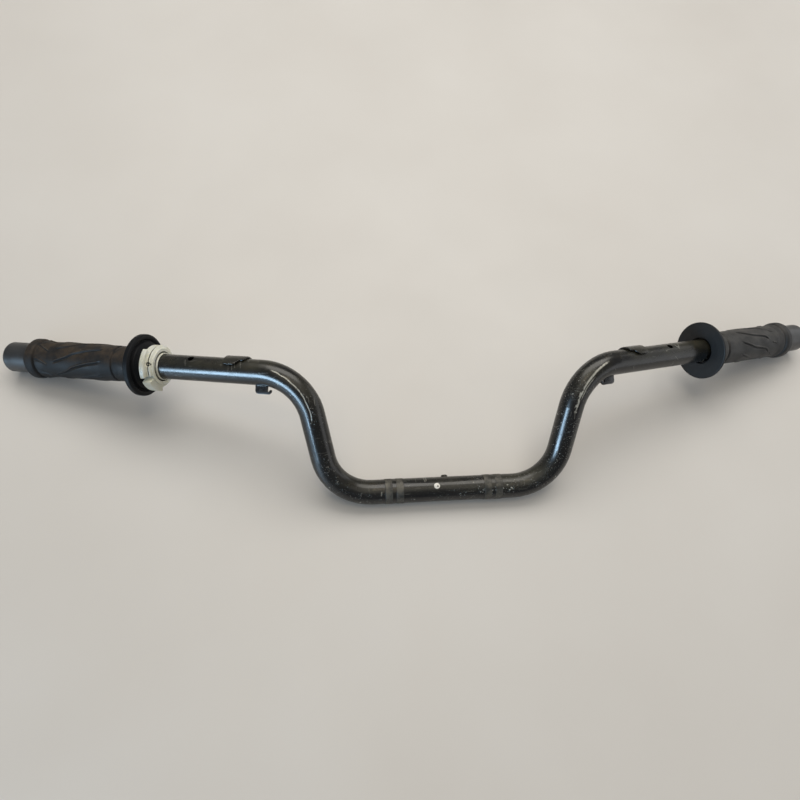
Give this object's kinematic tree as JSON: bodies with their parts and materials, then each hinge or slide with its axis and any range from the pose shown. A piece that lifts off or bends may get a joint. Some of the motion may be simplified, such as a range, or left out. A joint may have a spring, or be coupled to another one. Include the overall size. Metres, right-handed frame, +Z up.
{
  "type": "handlebar",
  "caption": "Bent steel motorcycle handlebar with rubber grips, end weights, wire clips, cable hooks and a turning throttle tube with its cable pulley.",
  "frame": {"origin": "middle of the clamp section, on the tube's axis", "axes": "+X along the clamp section to the clutch side, +Y away from the clamp section towards the grips as the bar lies, +Z up from the surface it lies on"},
  "size_m": [0.8052, 0.1743, 0.0915],
  "materials": {
    "tube_paint": "semi-gloss black paint, worn",
    "hook_paint": "satin black paint",
    "white_plastic": "matt",
    "tube_plastic": "satin, dirty",
    "grip_rubber": "matt, dusty",
    "weight_paint": "satin",
    "screw_steel": "zinc plated",
    "core_steel": "bare",
    "damper_rubber": "matt",
    "spring_steel": "bare"
  },
  "bodies": {
    "bar": {"handlebar_tube": "tube_paint", "throttle_wire_clip": "tube_paint", "clutch_wire_clip": "tube_paint", "throttle_cable_hook": "hook_paint", "clutch_cable_hook": "hook_paint", "locating_stud": "tube_paint", "alignment_plug": "white_plastic", "clutch_grip": "grip_rubber", "throttle_end_weight": "weight_paint", "clutch_end_weight": "weight_paint", "throttle_weight_screw": "screw_steel", "clutch_weight_screw": "screw_steel", "throttle_inner_weight": "core_steel", "clutch_inner_weight": "core_steel", "throttle_damper_inboard": "damper_rubber", "throttle_damper_outboard": "damper_rubber", "clutch_damper_inboard": "damper_rubber", "clutch_damper_outboard": "damper_rubber", "throttle_retainer_clip": "spring_steel", "clutch_retainer_clip": "spring_steel"},
    "throttle": {"throttle_tube": "tube_plastic", "throttle_grip": "grip_rubber"}
  },
  "joints": [
    {"name": "throttle_twist", "type": "hinge", "parent": "bar", "child": "throttle", "pos_m": [-0.31017, 0.128, 0.02577], "axis": [-0.9389, 0.233, -0.2533], "range_deg": [0, 75]}
  ]
}
